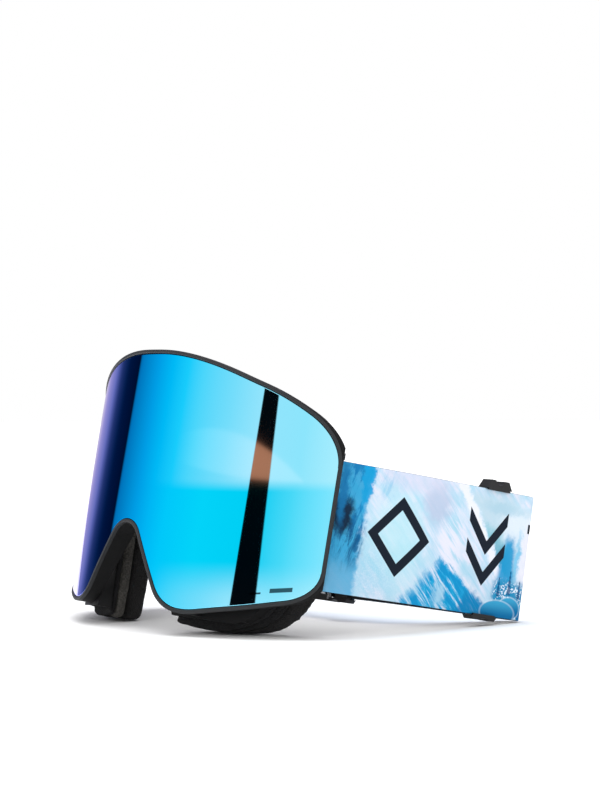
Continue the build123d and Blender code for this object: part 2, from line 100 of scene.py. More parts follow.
def sideways(path, closed=False):
    # the unit direction to the right of a path at each of its points
    if closed:
        step = np.roll(path, -1, axis=0) - np.roll(path, 1, axis=0)
    else:
        step = np.gradient(path, axis=0)
    step /= np.linalg.norm(step, axis=1)[:, None]
    return np.stack([step[:, 1], -step[:, 0]], -1)


def link(name, data):
    made = bpy.data.objects.new(name, data)
    bpy.context.scene.collection.objects.link(made)
    return made


def gridObject(name, points, material, wrapU=False, wrapV=False, uv=None, capped=False):
    # a grid of points as quads: u runs over the first index, v over the second
    rows, cols = points.shape[:2]
    u, v = np.meshgrid(np.arange(rows if wrapU else rows - 1), np.arange(cols if wrapV else cols - 1),
                       indexing="ij")
    u, v = u.ravel(), v.ravel()
    corners = ((u, v), (u + 1, v), (u + 1, v + 1), (u, v + 1))
    quads = np.stack([(a % rows) * cols + b % cols for a, b in corners], -1)
    faces = quads.tolist()
    if capped:
        faces += [list(range(cols))[::-1], [(rows - 1) * cols + k for k in range(cols)]]
    mesh = bpy.data.meshes.new(name)
    mesh.from_pydata(points.reshape(-1, 3).tolist(), [], faces)
    if uv is not None:
        layer = mesh.uv_layers.new(name="UVMap")
        flat = np.zeros((len(mesh.loops), 2))
        flat[:quads.size] = np.stack([uv[a, b] for a, b in corners], 1).reshape(-1, 2)
        layer.data.foreach_set("uv", flat.ravel())
    work = bmesh.new()
    work.from_mesh(mesh)
    bmesh.ops.remove_doubles(work, verts=work.verts, dist=1e-7)
    bmesh.ops.recalc_face_normals(work, faces=work.faces)
    work.to_mesh(mesh)
    work.free()
    mesh.shade_smooth()
    mesh.materials.append(material)
    return link(name, mesh)


def roundedSection(width, depth, radius, across=1, steps=4):
    # a closed rounded rectangle about the origin, with extra points along its two long sides
    quarter = np.linspace(0, math.pi / 2, steps)
    parts = []
    for k, (sx, sy) in enumerate(((1, 1), (-1, 1), (-1, -1), (1, -1))):
        angles = quarter + k * math.pi / 2
        centre = np.array([sx * (width / 2 - radius), sy * (depth / 2 - radius)])
        parts.append(centre + radius * np.stack([np.cos(angles), np.sin(angles)], -1))
        if k in (0, 2):
            t = np.linspace(1, -1, across + 1)[1:-1] * (1 if k == 0 else -1)
            parts.append(np.stack([t * (width / 2 - radius), np.full_like(t, sy * depth / 2)], -1))
    return np.concatenate(parts)


def linear(red, green, blue):
    # a screen colour from 0 to 255 as the linear colour that a material takes
    value = np.array([red, green, blue]) / 255
    value = np.where(value < 0.04045, value / 12.92, ((value + 0.055) / 1.055) ** 2.4)
    return (*value.tolist(), 1.0)


def put(tree, socket, value):
    if isinstance(value, bpy.types.NodeSocket):
        tree.links.new(value, socket)
    else:
        socket.default_value = value


def calc(tree, operation, *values):
    node = tree.nodes.new("ShaderNodeMath")
    node.operation = operation
    for socket, value in zip(node.inputs, values):
        put(tree, socket, value)
    return node.outputs[0]


def mixed(tree, factor, first, second, blend="MIX"):
    node = tree.nodes.new("ShaderNodeMix")
    node.data_type = "RGBA"
    node.blend_type = blend
    put(tree, node.inputs[0], factor)
    put(tree, node.inputs[6], first)
    put(tree, node.inputs[7], second)
    return node.outputs[2]


def fade(tree, value, start, end):
    # 0 at start and 1 at end, with a smooth step between
    node = tree.nodes.new("ShaderNodeMapRange")
    node.interpolation_type = "SMOOTHSTEP"
    put(tree, node.inputs["Value"], value)
    if start < end:
        node.inputs["From Min"].default_value, node.inputs["From Max"].default_value = start, end
        return node.outputs[0]
    node.inputs["From Min"].default_value, node.inputs["From Max"].default_value = end, start
    return calc(tree, "SUBTRACT", 1.0, node.outputs[0])


def noise(tree, vector, scale, detail=3.0, roughness=0.55, distortion=0.0):
    node = tree.nodes.new("ShaderNodeTexNoise")
    put(tree, node.inputs["Vector"], vector)
    node.inputs["Scale"].default_value = scale
    node.inputs["Detail"].default_value = detail
    node.inputs["Roughness"].default_value = roughness
    node.inputs["Distortion"].default_value = distortion
    return node.outputs["Fac"]


def mapping(tree, vector, scale=(1, 1, 1), turn=0.0, shift=(0, 0, 0)):
    node = tree.nodes.new("ShaderNodeMapping")
    put(tree, node.inputs["Vector"], vector)
    node.inputs["Scale"].default_value = scale
    node.inputs["Rotation"].default_value = (0, 0, math.radians(turn))
    node.inputs["Location"].default_value = shift
    return node.outputs[0]


def ramp(tree, value, stops):
    node = tree.nodes.new("ShaderNodeValToRGB")
    put(tree, node.inputs[0], value)
    elements = node.color_ramp.elements
    while len(elements) < len(stops):
        elements.new(1.0)
    for element, (at, colour) in zip(elements, stops):
        element.position = at
        element.color = colour
    return node.outputs[0]


def bump(tree, shader, height, distance):
    node = tree.nodes.new("ShaderNodeBump")
    put(tree, node.inputs["Height"], height)
    node.inputs["Distance"].default_value = distance
    node.inputs["Strength"].default_value = 1.0
    tree.links.new(node.outputs[0], shader.inputs["Normal"])


def newMaterial(name, **settings):
    made = bpy.data.materials.new(name)
    made.use_nodes = True
    shader = made.node_tree.nodes["Principled BSDF"]
    for socket, value in settings.items():
        shader.inputs[socket.replace("_", " ")].default_value = value
    return made, made.node_tree, shader


def coordinate(tree, output="Object"):
    return tree.nodes.new("ShaderNodeTexCoord").outputs[output]


def separate(tree, vector):
    node = tree.nodes.new("ShaderNodeSeparateXYZ")
    put(tree, node.inputs[0], vector)
    return node.outputs


def grained(name, dark, light, roughness, grain, depth, **settings):
    # a surface with a fine grain: the same noise varies its colour and roughness and raises its bump
    made, tree, shader = newMaterial(name, **settings)
    spot = coordinate(tree)
    fine = noise(tree, spot, grain, 4.0, 0.6)
    broad = noise(tree, spot, 45.0, 2.0)
    blend = calc(tree, "MULTIPLY_ADD", broad, 0.5, calc(tree, "MULTIPLY", fine, 0.5))
    put(tree, shader.inputs["Base Color"], ramp(tree, blend, ((0.3, dark), (0.7, light))))
    put(tree, shader.inputs["Roughness"], calc(tree, "MULTIPLY_ADD", broad, 0.12, roughness - 0.06))
    bump(tree, shader, fine, depth)
    return made


framePlastic = grained("frame plastic", linear(11, 11, 12), linear(17, 17, 18), 0.6, 2600, 0.00003,
                       Specular_IOR_Level=0.15)
rimPlastic = grained("rim soft touch", linear(26, 28, 31), linear(36, 38, 41), 0.5, 3200, 0.000006,
                     Specular_IOR_Level=0.35)
sliderPlastic = grained("slider plastic", linear(12, 12, 14), linear(24, 24, 26), 0.48, 2200, 0.00004,
                        Specular_IOR_Level=0.3)
gasketRubber = grained("gasket rubber", linear(18, 18, 19), linear(28, 28, 29), 0.7, 3000, 0.00002)
siliconeGrip = grained("silicone grip", linear(60, 64, 70), linear(80, 84, 90), 0.4, 1500, 0.00001)
steel = grained("steel", linear(150, 152, 156), linear(176, 178, 182), 0.32, 2500, 0.00001, Metallic=1.0)
magnetMetal = grained("magnet", linear(120, 120, 124), linear(150, 150, 152), 0.28, 2500, 0.00001, Metallic=1.0)


def foam(name, dark, light, cells, depth, fuzz, skinned=None):
    # open foam: voronoi cells as pits, with a finer noise on the cell walls; the pits are painted darker as
    # painted shade, over a broad tone that varies at random
    made, tree, shader = newMaterial(name, Roughness=0.95, Specular_IOR_Level=0.12, Sheen_Weight=fuzz,
                                     Sheen_Roughness=0.6)
    spot = coordinate(tree)
    cell = tree.nodes.new("ShaderNodeTexVoronoi")
    put(tree, cell.inputs["Vector"], spot)
    cell.inputs["Scale"].default_value = cells
    fine = noise(tree, spot, cells * 2.4, 4.0, 0.7)
    broad = noise(tree, spot, 60.0, 3.0)
    height = calc(tree, "MULTIPLY_ADD", fine, 0.6, cell.outputs["Distance"])
    # painted shade: the lower a point lies in its cell, the darker its colour
    tone = calc(tree, "MULTIPLY_ADD", broad, 0.35, calc(tree, "MULTIPLY", height, 0.5))
    colour = ramp(tree, tone, ((0.25, dark), (0.75, light)))
    if skinned:
        # the grey shows only where the nose is cut out of it: a dark skin covers the rest
        aside = fade(tree, calc(tree, "ABSOLUTE", separate(tree, spot)[0]), 0.029, 0.031)
        colour = mixed(tree, aside, colour, ramp(tree, tone, ((0.25, skinned[0]), (0.75, skinned[1]))))
    put(tree, shader.inputs["Base Color"], colour)
    bump(tree, shader, height, depth)
    return made


darkPair = linear(12, 12, 13), linear(30, 30, 31)
foamDark = foam("dark foam", *darkPair, 1500, 0.00025, 0.02)
foamGrey = foam("grey foam", linear(46, 45, 43), linear(84, 82, 78), 1300, 0.0003, 0.02, darkPair)
fleece = foam("fleece", linear(12, 12, 13), linear(34, 33, 33), 2100, 0.0004, 0.06)
ventMesh = foam("vent foam", linear(16, 16, 17), linear(34, 34, 36), 1100, 0.0003, 0.02)

# the mirror coat is blue; its turn from violet at the wearer's right to cyan at the left, as a gradient along x,
# is painted reflection that stands in for the coat's colour shift at glancing angles and for the brightness of
# what it reflects
coat = {
    "from": -52, "to": 84,
    # tints over x: deep ones for the middle of the lens, pale ones for its upper and lower parts, the pale ones
    # being painted reflection brightness
    "violet": ((-52, (196, 192, 244)), (-33, (120, 128, 232)), (-18, (36, 84, 176)), (-8, (0, 112, 186)),
               (4, (0, 156, 228))),
    "deep": ((13, (0, 182, 244)), (22, (0, 200, 250)), (38, (2, 211, 249)), (60, (0, 206, 243)),
             (69, (70, 216, 247)), (77, (112, 226, 253)), (84, (140, 232, 254))),
    "pale": ((13, (0, 184, 245)), (22, (24, 204, 252)), (30, (76, 214, 251)), (44, (116, 221, 251)),
             (55, (146, 228, 252)), (70, (140, 229, 252)), (84, (176, 240, 255))),
    "deepTop": 2.0, "deepLow": -27.0,
    # each printed bar's left and right end, height and half thickness, and how far the bars slope
    "bars": ((61.2, 64.6, -38.9, 0.35), (67.2, 73.6, -37.6, 0.8)), "barSlope": 0.08, "barTint": (16, 44, 58),
}
mirrorCoatAndReflection, tree, shader = newMaterial("mirror coat", Metallic=1.0, Roughness=0.02)
spot = coordinate(tree)
axes = separate(tree, spot)
around = calc(tree, "MULTIPLY", axes[0], 1000)
# heights on the lens are taken where the lens stands a temple's depth behind its middle
level = calc(tree, "MULTIPLY_ADD", axes[2], 1000, -1000 * float(place([50, 12, 0])[2]))
coatSpan = coat["to"] - coat["from"]
share = calc(tree, "DIVIDE", calc(tree, "SUBTRACT", around, coat["from"]), coatSpan)


def tintAndReflectionRamp(kind):
    stops = [((x - coat["from"]) / coatSpan, linear(*tint)) for x, tint in coat["violet"] + coat[kind]]
    return ramp(tree, share, stops)


# painted reflection: both ramps shift the coat's blue along x, and the pale one, mixed in above and below the
# middle band, paints brighter reflections there
deep, pale = tintAndReflectionRamp("deep"), tintAndReflectionRamp("pale")
upper = fade(tree, level, coat["deepTop"] - 4.0, coat["deepTop"] + 1.0)
lower = fade(tree, level, coat["deepLow"], coat["deepLow"] - 16.0)
colour = mixed(tree, calc(tree, "MAXIMUM", upper, lower), deep, pale)
marks = 0.0
for left, right, middle, half in coat["bars"]:
    slant = calc(tree, "MULTIPLY_ADD", around, -coat["barSlope"], level)
    bar = calc(tree, "MULTIPLY", fade(tree, around, left - 0.1, left + 0.1),
               fade(tree, around, right + 0.1, right - 0.1))
    high = calc(tree, "SUBTRACT", slant, middle - coat["barSlope"] * (left + right) / 2)
    bar = calc(tree, "MULTIPLY", bar, fade(tree, calc(tree, "ABSOLUTE", high), half + 0.1, half - 0.1))
    marks = calc(tree, "MAXIMUM", marks, bar)
colour = mixed(tree, calc(tree, "MULTIPLY", marks, 0.9), colour, linear(*coat["barTint"]))
put(tree, shader.inputs["Base Color"], colour)
glancing = mixed(tree, fade(tree, around, -38, -12), (1, 0.97, 1, 1), (0.45, 0.85, 1, 1))
put(tree, shader.inputs["Specular Tint"], glancing)
smear = noise(tree, spot, 30.0, 3.0)
put(tree, shader.inputs["Roughness"], calc(tree, "MULTIPLY_ADD", smear, 0.03, 0.005))

clearLens, tree, shader = newMaterial("clear lens", Transmission_Weight=1.0, IOR=1.58, Roughness=0.03)
faint = noise(tree, coordinate(tree), 40.0, 2.0)
glass = ramp(tree, faint, ((0.0, (0.86, 0.88, 0.9, 1)), (1.0, (0.95, 0.96, 0.97, 1))))
put(tree, shader.inputs["Base Color"], glass)


def webbing(name, dark, light, pitch, depth):
    # a ribbed weave on a UV in millimetres: ribs across the strap, broken by yarns along it
    made, tree, shader = newMaterial(name, Roughness=0.82, Specular_IOR_Level=0.15, Sheen_Weight=0.05,
                                     Sheen_Roughness=0.5)
    cut = separate(tree, coordinate(tree, "UV"))
    turns = 2 * math.pi / pitch
    rib = calc(tree, "SINE", calc(tree, "MULTIPLY", cut[0], turns))
    yarn = calc(tree, "SINE", calc(tree, "MULTIPLY", cut[1], turns * 1.6))
    weave = calc(tree, "MULTIPLY_ADD", calc(tree, "MULTIPLY", rib, yarn), 0.5, 0.5)
    wear = noise(tree, coordinate(tree), 120.0, 4.0)
    tone = calc(tree, "MULTIPLY_ADD", wear, 0.5, calc(tree, "MULTIPLY", weave, 0.5))
    put(tree, shader.inputs["Base Color"], ramp(tree, tone, ((0.2, dark), (0.8, light))))
    bump(tree, shader, weave, depth)
    return made


blackWebbing = webbing("black webbing", linear(8, 8, 9), linear(28, 28, 30), 1.1, 0.00018)
liningKnit = webbing("lining knit", linear(12, 12, 14), linear(34, 34, 38), 0.8, 0.00012)
print("plain materials made")

lens = {"width": 160.4, "height": 96.0, "top": 48.3, "radius": 107.5, "thick": 1.2, "chamfer": 0.18,
        "notchFoot": 27.5, "notchRise": 40.6, "notchRadius": 11.3}
side, low = lens["width"] / 2, lens["top"] - lens["height"]
# the outline's corners on the left half, each with its radius, in the flat view from the front
brow = [(0.32 * side, lens["top"], 130), (side - 17.4, lens["top"] - 12.5, 60),
        (side, lens["top"] - 24.3, 22)]
cheek = [(side, low + 11.4, 12.5), (side - 20.1, low + 4.7, 140),
         (lens["notchFoot"] + 12.3, low + 0.1, 28), (lens["notchFoot"], low, 16)]
apex = [(0, low + lens["notchRise"], lens["notchRadius"])]


def mirrored(corners):
    return [(-x, z, radius) for x, z, radius in reversed(corners)]


def onLens(around, height, proud):
    # a point at an arc length round the lens from its middle, a height, and a distance out from its face
    turn = around / lens["radius"]
    span = lens["radius"] + proud
    return place(np.stack(np.broadcast_arrays(
        span * np.sin(turn), lens["radius"] - span * np.cos(turn), height), -1))


def lensSheet(columns=420, rows=48):
    # columns round the cylinder, each a closed loop: up the front, over a small round edge, down the back
    ends = [(-side, -6, 0)], [(side, -6, 0)]
    upper = roundedPath(ends[0] + mirrored(brow) + brow + ends[1])
    lower = roundedPath(ends[0] + mirrored(cheek)[::-1] + apex + cheek[::-1] + ends[1])
    limit = math.asin(side / lens["radius"])
    theta = limit * np.sin(np.linspace(-1, 1, columns) * math.pi / 2)
    # beyond the columns a short lip closes the sheet's two side edges in a quarter round
    lip = np.linspace(0, 1, 5)[1:]
    theta = np.concatenate([-limit - lip[::-1] * 0.004, theta, limit + lip * 0.004])
    full = np.concatenate([np.sqrt(1 - lip[::-1] ** 2), np.ones(columns), np.sqrt(1 - lip**2)])
    x = np.clip(lens["radius"] * np.sin(theta), 1e-4 - side, side - 1e-4)
    bottom = np.interp(x, lower[:, 0], lower[:, 1])
    top = np.interp(x, upper[:, 0], upper[:, 1])
    share = np.concatenate([[0, 0], np.linspace(0, 1, rows - 4), [1, 1]])
    inset = np.zeros(rows)
    chamfer = lens["chamfer"]
    inset[[1, 2, -3, -2]] = chamfer, 2 * chamfer, -2 * chamfer, -chamfer
    share, inset = np.concatenate([share, share[::-1]]), np.concatenate([inset, inset[::-1]])
    depth = np.concatenate([np.zeros(rows), np.full(rows, lens["thick"])])
    depth[[0, rows - 1]] = chamfer
    height = bottom[:, None] * (1 - share) + top[:, None] * share + inset
    proud = -(depth * full[:, None] + lens["thick"] / 2 * (1 - full[:, None]))
    spots = onLens((lens["radius"] * theta)[:, None], height, proud)
    return gridObject("lensMirror", spots, mirrorCoatAndReflection, wrapV=True)


lensMirror = lensSheet()
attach(lensMirror, "lens")
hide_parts("outer_lens")
print("lens made")

rim = {"gap": 0.15, "width": 1.5, "above": 0.4, "below": 1.5, "soft": 0.5, "points": 900}


def rimBead():
    # the lens's edge unrolled flat, moved outwards, and carried round by a rounded section
    closedEdge = roundedPath(brow + cheek + apex[::-1] + mirrored(cheek) + mirrored(brow), closed=True)
    flat = np.stack([lens["radius"] * np.arcsin(closedEdge[:, 0] / lens["radius"]), closedEdge[:, 1]], -1)
    flat, _ = evenly(flat, rim["points"], closed=True)
    outwards = -sideways(flat, closed=True)
    section = roundedSection(rim["width"], rim["above"] + rim["below"], rim["soft"], across=3, steps=7)
    out = section[:, 0] + rim["gap"] + rim["width"] / 2
    proud = section[:, 1] + (rim["above"] - rim["below"]) / 2
    spots = flat[:, None, :] + outwards[:, None, :] * out[None, :, None]
    points = onLens(spots[..., 0], spots[..., 1], proud[None, :])
    return gridObject("rimBead", points, rimPlastic, wrapU=True, wrapV=True)


bead = rimBead()
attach(bead, "root")
print("rim made")


# each layer's node, finish, voxel size in metres and rounds of smoothing
foamLayers = {
    "foamBase": ("foam_base", foamDark, 0.0008, 16),
    "foamMiddle": ("foam_mid", foamGrey, 0.0008, 12),
    "foamFleece": ("foam_back", fleece, 0.0010, 24),
}
noseCorner = {"x": 22.5, "y": 18, "z": -53.5, "size": 0.011, "rounds": 60}
tuck = {"from": 22.0, "to": 40.0, "by": 2.4}


def spotsOf(mesh):
    spots = np.zeros(len(mesh.vertices) * 3)
    mesh.vertices.foreach_get("co", spots)
    return spots.reshape(-1, 3)


def evaluated(piece):
    return bpy.data.meshes.new_from_object(piece.evaluated_get(bpy.context.evaluated_depsgraph_get()))


def tuckedUnder(mesh):
    # the brow sinks a little, so that the rim hides it from the front
    spots = spotsOf(mesh)
    up = leanBack([0, 0, 1])
    share = np.clip(((spots - standAt) @ up * 1000 - tuck["from"]) / (tuck["to"] - tuck["from"]), 0, 1)
    spots -= (tuck["by"] / 1000 * share**2 * (3 - 2 * share))[:, None] * up
    mesh.vertices.foreach_set("co", spots.ravel())


def smoothing(piece, name, rounds):
    smooth = piece.modifiers.new(name, "SMOOTH")
    smooth.factor = 0.5
    smooth.iterations = rounds
    return smooth


def softCopy(name, node, material, voxel, rounds):
    # the layer's solid, remeshed evenly and then smoothed so that its edges turn over softly
    mesh = nodes[node].data.copy()
    work = bmesh.new()
    work.from_mesh(mesh)
    bmesh.ops.remove_doubles(work, verts=work.verts, dist=1e-6)
    work.to_mesh(mesh)
    work.free()
    rough = link(name + "Rough", mesh)
    remesh = rough.modifiers.new("even", "REMESH")
    remesh.mode = "VOXEL"
    remesh.voxel_size = voxel
    smoothing(rough, "soft", rounds)
    shaped = evaluated(rough)
    rough.modifiers.clear()
    rough.data = shaped
    # the corners by the nose are much rounder than the other edges: they get more rounds, weighted by
    # how near a point stands to them seen from the front
    corners = place([[noseCorner["x"] * sign, noseCorner["y"], noseCorner["z"]] for sign in (-1, 1)])
    spots = spotsOf(shaped)
    near = np.min([np.linalg.norm((spots - corner)[:, ::2], axis=1) for corner in corners], axis=0)
    group = rough.vertex_groups.new(name="corner")
    for k in np.flatnonzero(near < noseCorner["size"]):
        group.add([int(k)], float(1 - (near[k] / noseCorner["size"]) ** 2), "REPLACE")
    smoothing(rough, "corner", noseCorner["rounds"]).vertex_group = "corner"
    shaped = evaluated(rough)
    bpy.data.objects.remove(rough)
    tuckedUnder(shaped)
    shaped.name = name
    shaped.materials.clear()
    shaped.materials.append(material)
    shaped.shade_smooth()
    return link(name, shaped)


for name, (node, material, voxel, rounds) in foamLayers.items():
    layer = softCopy(name, node, material, voxel, rounds)
    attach(layer, "root")
    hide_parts(node)
    print(name, len(layer.data.polygons))

for name, node, material in (("faceFrameTucked", "face_frame", framePlastic),
                             ("ventFoamTucked", "top_vent_foam", ventMesh)):
    mesh = nodes[node].data.copy()
    mesh.materials.clear()
    mesh.materials.append(material)
    tuckedUnder(mesh)
    piece = link(name, mesh)
    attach(piece, "root")
    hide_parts(node)
print("foam made")

# the strap's route seen from above, each corner with its radius, from the left pin round to the right one
strap = {"rise": 2.0, "width": 49.0, "face": 1.0, "lining": 0.6, "pinX": 72.5, "wrap": 2.4, "step": 0.8,
         "route": [(74.9, 0, 0), (74.9, 37.5, 100), (65.8, 123.5, 5), (46, 50.5, 24), (-64, 43, 20),
                   (-74.9, 21, 30), (-74.9, 0, 0)]}


def onStrap(x, run, height):
    # a point of the strap's plane, which climbs from the pins, and a height square to that plane
    turn = math.radians(strap["rise"])
    x, run, height = np.broadcast_arrays(x, run, height)
    y = run * math.cos(turn) - height * math.sin(turn)
    z = run * math.sin(turn) + height * math.cos(turn)
    return place(np.stack([x, y + posture["pin"][1], z + posture["pin"][2]], -1))


def sectionUv(along, section):
    # u runs along a strap and v across it, both in millimetres
    uv = np.zeros((len(along), len(section) + 1, 2))
    uv[..., 0] = along[:, None]
    uv[..., 1] = np.concatenate([section[:, 0], section[:1, 0]])[None, :]
    return uv


def ribbon(name, route, nearSide, farSide, width, material, across, wraps=False):
    # a rounded flat section carried along a route: out is measured to the right of the way it runs
    line = roundedPath(route)
    start = 0.0
    if wraps:
        arc = np.linspace(math.pi, 2 * math.pi, 30)
        loop = strap["wrap"] * np.stack([np.cos(arc), np.sin(arc)], -1)
        line = np.concatenate([loop[:-1] + (strap["pinX"], 0), line, loop[1:] - (strap["pinX"], 0)])
        start = math.pi * strap["wrap"]
    total = np.linalg.norm(np.diff(line, axis=0), axis=1).sum()
    line, along = evenly(line, int(total / strap["step"]))
    right = sideways(line)
    thick = farSide - nearSide
    section = roundedSection(width, abs(thick), abs(thick) * 0.42, across=across)
    out = section[:, 1] * (1 if thick > 0 else -1) + (nearSide + farSide) / 2
    spots = line[:, None, :] + right[:, None, :] * out[None, :, None]
    points = onStrap(spots[..., 0], spots[..., 1], section[None, :, 0])
    return gridObject(name, points, material, wrapV=True, uv=sectionUv(along - start, section), capped=True)


# distances along the strap start at the pin: each sign's place, and the bar's two ends and height
art = {"middle": 157.0, "ink": linear(20, 29, 42), "signHalf": 15.2, "stroke": 3.6,
       "diamond": 30.3, "chevron": 76.3, "arms": (-10.5, 1.5), "bar": (98.3, 122.1, 11.6)}


def strapArt():
    made, tree, shader = newMaterial("strap print", Roughness=0.75, Specular_IOR_Level=0.12)
    cut = separate(tree, coordinate(tree, "UV"))
    # past the strap's middle the print runs backwards, so both sides show it from the pin onwards
    along = calc(tree, "MINIMUM", cut[0], calc(tree, "SUBTRACT", 2 * art["middle"], cut[0]))
    joined = tree.nodes.new("ShaderNodeCombineXYZ")
    put(tree, joined.inputs[0], along)
    put(tree, joined.inputs[1], cut[1])
    flat = joined.outputs[0]
    wander = calc(tree, "MULTIPLY_ADD", noise(tree, flat, 0.16, 5.0, 0.65), 9.0, -4.5)
    other = mapping(tree, flat, shift=(40, 0, 0))
    ripple = calc(tree, "MULTIPLY_ADD", noise(tree, other, 0.3, 5.0, 0.7), 7.0, -3.5)
    u = calc(tree, "ADD", along, wander)
    v = calc(tree, "ADD", cut[1], ripple)

    def beside(first, second, plain=False):
        # distance to the left of the line from the first spot to the second
        step = np.subtract(second, first) / math.dist(first, second)
        high = calc(tree, "MULTIPLY_ADD", cut[1] if plain else v, float(step[0]),
                    float(step[1] * first[0] - step[0] * first[1]))
        return calc(tree, "MULTIPLY_ADD", along if plain else u, float(-step[1]), high)

    # an ellipse with a soft edge, ragged with the print's brushwork unless it is sharp
    def blob(centreU, centreV, halfU, halfV, soft=0.35, sharp=False):
        first = calc(tree, "DIVIDE", calc(tree, "SUBTRACT", along if sharp else u, centreU), halfU)
        second = calc(tree, "DIVIDE", calc(tree, "SUBTRACT", cut[1] if sharp else v, centreV), halfV)
        squares = calc(tree, "MULTIPLY_ADD", first, first, calc(tree, "MULTIPLY", second, second))
        return fade(tree, calc(tree, "SQRT", squares), 1 + soft, 1 - soft)

    def over(colour, tint, strength, *masks):
        for mask in masks:
            strength = calc(tree, "MULTIPLY", strength, mask)
        return mixed(tree, strength, colour, linear(*tint))

    slanted, upright = mapping(tree, flat, turn=42), mapping(tree, flat, turn=-76)
    streaks = noise(tree, mapping(tree, slanted, (0.045, 0.34, 1)), 1.0, 7.0, 0.66, 0.35)
    steep = noise(tree, mapping(tree, upright, (0.06, 0.30, 1)), 1.0, 7.0, 0.7, 0.5)
    specks = noise(tree, flat, 1.3, 7.0, 0.8)
    clouds = noise(tree, flat, 0.09, 4.0, 0.5)
    ground = (0.34, linear(172, 214, 234)), (0.5, linear(206, 224, 240)), (0.62, linear(228, 230, 243))
    colour = ramp(tree, streaks, ground)
    colour = over(colour, (166, 214, 232), 0.55, fade(tree, clouds, 0.48, 0.62))
    # pale cyan round the first sign, lavender above and beyond it
    colour = over(colour, (182, 228, 236), 0.7, blob(30, -1, 12, 17, 0.6))
    colour = over(colour, (150, 206, 230), 0.6, blob(17, -16, 14, 9, 0.6), fade(tree, specks, 0.35, 0.6))
    colour = over(colour, (186, 198, 222), 0.8, blob(48, 15, 7, 8, 0.5))
    colour = over(colour, (214, 214, 234), 0.6, blob(36, 24, 18, 6, 0.5))
    colour = over(colour, (236, 234, 246), 0.8, blob(58, 1, 7, 13, 0.5), fade(tree, streaks, 0.40, 0.52))
    colour = over(colour, (110, 186, 224), 0.5, blob(22, 22, 7, 8, 0.5), fade(tree, steep, 0.45, 0.6))
    # deep blue beside the frame, brushed downwards
    near = fade(tree, beside((11.5, -26), (13.5, 26)), -1.6, 1.6)
    colour = over(colour, (38, 160, 208), 0.95, near, fade(tree, v, -22, -12))
    colour = over(colour, (92, 172, 212), 0.9, near, fade(tree, v, -8, -17))
    colour = over(colour, (6, 118, 178), 0.9, near, fade(tree, steep, 0.47, 0.58), fade(tree, v, -13, -4))
    colour = over(colour, (14, 156, 212), 0.95, blob(12.5, 20, 2.2, 13, 0.4))
    colour = over(colour, (14, 76, 122), 0.85, blob(7, -5, 5.5, 8, 0.6), fade(tree, steep, 0.42, 0.55))
    colour = over(colour, (10, 32, 56), 0.97, blob(2.2, 5, 5.0, 7.0, 0.35))
    colour = over(colour, (20, 116, 172), 0.9, blob(1.5, 14, 2.0, 12, 0.5))
    # azure slope that falls away below the second sign
    crest = fade(tree, beside((54, -5.6), (78, -19.5)), 1.2, -1.0)
    flank = fade(tree, beside((38, -20), (54, -4)), 2.5, -4.0)
    colour = over(colour, (30, 168, 216), 1.0, crest, flank, fade(tree, streaks, 0.62, 0.50))
    colour = over(colour, (8, 144, 202), 0.95, crest, flank, fade(tree, streaks, 0.52, 0.44))
    colour = over(colour, (10, 130, 186), 0.9, crest, fade(tree, beside((64, -22), (70, -12)), 1.5, -2.0),
                  fade(tree, cut[1], -13, -20))
    colour = over(colour, (176, 216, 236), 0.8, crest, blob(54, -19, 3, 4, 0.6))
    # white wave, and the teal hollow that deepens towards the fold
    wave = beside((66.5, 16), (84, -6))
    hollow = calc(tree, "MULTIPLY", fade(tree, wave, 1.5, 3.5), fade(tree, along, 95, 86))
    colour = over(colour, (190, 216, 228), 0.9, hollow, fade(tree, v, 24, 19))
    colour = over(colour, (128, 192, 208), 0.85, hollow, fade(tree, v, 13, 7))
    colour = over(colour, (34, 134, 172), 0.85, hollow, fade(tree, v, 7, -4))
    colour = over(colour, (238, 240, 248), 0.95, fade(tree, calc(tree, "ABSOLUTE", wave), 3.2, 1.2),
                  fade(tree, u, 88, 84))
    colour = over(colour, (226, 236, 244), 0.9, blob(93, 11, 10, 8, 0.4))
    colour = over(colour, (172, 208, 224), 0.8, blob(84, 17.5, 11, 2.2, 0.6))
    colour = over(colour, (236, 236, 246), 0.9, blob(99.5, -1, 4.5, 14, 0.4))
    column = fade(tree, beside((84, -8), (86.5, 8), True), 1.0, -2.5)
    colour = over(colour, (26, 152, 204), 0.95, column, fade(tree, beside((94, -12), (91, 10)), -2.0, 2.0),
                  fade(tree, v, 10, 4), fade(tree, along, 100, 94))
    colour = over(colour, (96, 190, 228), 0.8, blob(94.5, -1, 1.2, 9, 0.7))
    # rounded snow hills with frosted pines at the fold
    frost = calc(tree, "MULTIPLY", fade(tree, cut[1], -8, -12.5), fade(tree, along, 81, 85))
    colour = over(colour, (30, 140, 186), 0.95, frost)
    flecks = noise(tree, flat, 0.55, 3.0, 0.6, 1.2)
    colour = over(colour, (226, 238, 248), 0.95, frost, fade(tree, flecks, 0.53, 0.57))
    for centreU, centreV, halfU, halfV in ((101.5, -22.0, 4.2, 4.4), (93.0, -20.4, 5.8, 4.2),
                                           (86.8, -22.6, 9.4, 4.6)):
        edging = blob(centreU, centreV, halfU + 0.5, halfV + 0.5, 0.06, sharp=True)
        colour = over(colour, (214, 234, 246), 0.5, edging)
        shade = fade(tree, cut[1], centreV + halfV, centreV - halfV * 0.3)
        tint = mixed(tree, shade, linear(60, 166, 208), linear(4, 112, 166))
        colour = mixed(tree, blob(centreU, centreV, halfU, halfV, 0.06, sharp=True), colour, tint)
    for foot, base, tall in ((86.1, -16, 7.5), (92.0, -15, 9.5), (97.6, -16, 7.0), (100.6, -17, 7.5)):
        rise = calc(tree, "SUBTRACT", base + tall, cut[1])
